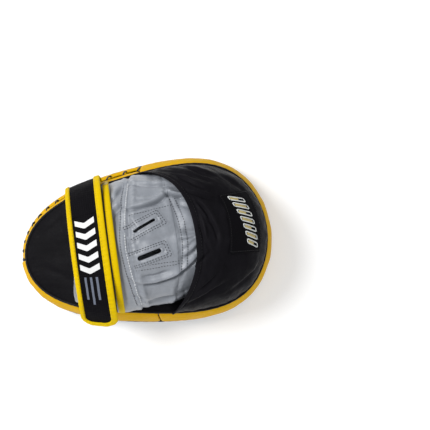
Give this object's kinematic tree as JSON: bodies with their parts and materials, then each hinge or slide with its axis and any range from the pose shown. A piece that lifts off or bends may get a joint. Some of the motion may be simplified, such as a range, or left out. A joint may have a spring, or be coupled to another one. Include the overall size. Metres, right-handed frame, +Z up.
{
  "type": "focus mitt",
  "caption": "Curved padded focus mitt with a strapped wrist cuff, a glove-like hand pocket under a finger hood and a laced side seam; the coach wears it to catch punches.",
  "frame": {"origin": "on the ground the mitt lies on, below the middle of its outline", "axes": "+X along its length towards the fingers, +Y to the side with the laced seam, +Z up, away from the strike face"},
  "size_m": [0.2546, 0.1654, 0.1185],
  "materials": {
    "side_leather": "smooth golden yellow leather, low sheen",
    "binding": "lemon yellow folded leather binding, soft sheen",
    "strike_leather": "charcoal smooth leather, scuffed",
    "back_leather": "black grained leather, matt",
    "hood_leather": "thin soft black leather, matt, wrinkled",
    "glove_leather": "soft grey leather, fine grain, slight sheen",
    "lining": "grey woven lining",
    "cuff_fabric": "black padded cuff fabric",
    "strap_web": "black mesh-faced strap",
    "hook_and_loop": "black hook and loop tape",
    "piping": "black piping cord in leather",
    "lace": "black waxed lace",
    "patch": "black woven patch with raised stitching",
    "firm_foam": "firm closed-cell foam",
    "soft_foam": "soft shock foam"
  },
  "bodies": {
    "mitt": {"strike_cover": "strike_leather", "front_foam": "firm_foam", "core_foam": "soft_foam", "back_foam": "firm_foam", "back_cover": "back_leather", "side_panel_fingers": "side_leather", "side_panel_wrist": "side_leather", "side_strip_lower": "side_leather", "side_strip_upper": "side_leather", "lacing_liner": "back_leather", "closing_lace": "lace", "strike_piping": "piping", "back_piping": "piping", "palm_pad": "soft_foam", "glove_palm_panel": "glove_leather", "glove_cuff_panel": "glove_leather", "glove_back_panel": "glove_leather", "glove_finger_panel": "glove_leather", "gusset_laced_side": "back_leather", "gusset_open_side": "back_leather", "slit_tape_upper": "glove_leather", "slit_tape_lower": "glove_leather", "finger_sleeve": "lining", "thumb_sleeve": "lining", "finger_hood": "hood_leather", "hood_patch": "patch", "cuff_lining": "lining", "cuff_band": "cuff_fabric", "cuff_binding_fingers": "binding", "cuff_binding_wrist": "binding", "loop_patch": "hook_and_loop", "strap_root_tab": "strap_web"},
    "strap_base": {"strap_base_panel": "strap_web", "strap_base_binding_wrist": "binding", "strap_base_binding_fingers": "binding"},
    "strap_tip": {"strap_tip_panel": "strap_web", "strap_tip_binding": "binding", "hook_patch": "hook_and_loop"}
  },
  "joints": [
    {"name": "strap_lift", "type": "hinge", "parent": "mitt", "child": "strap_base", "pos_m": [-0.05402, 0.06328, 0.0583], "axis": [-0.9447, -0.2357, -0.2281], "range_deg": [0, 100]},
    {"name": "strap_peel", "type": "hinge", "parent": "strap_base", "child": "strap_tip", "pos_m": [-0.05389, 0, 0.11173], "axis": [-0.9542, 0, -0.299], "range_deg": [0, 100]}
  ]
}
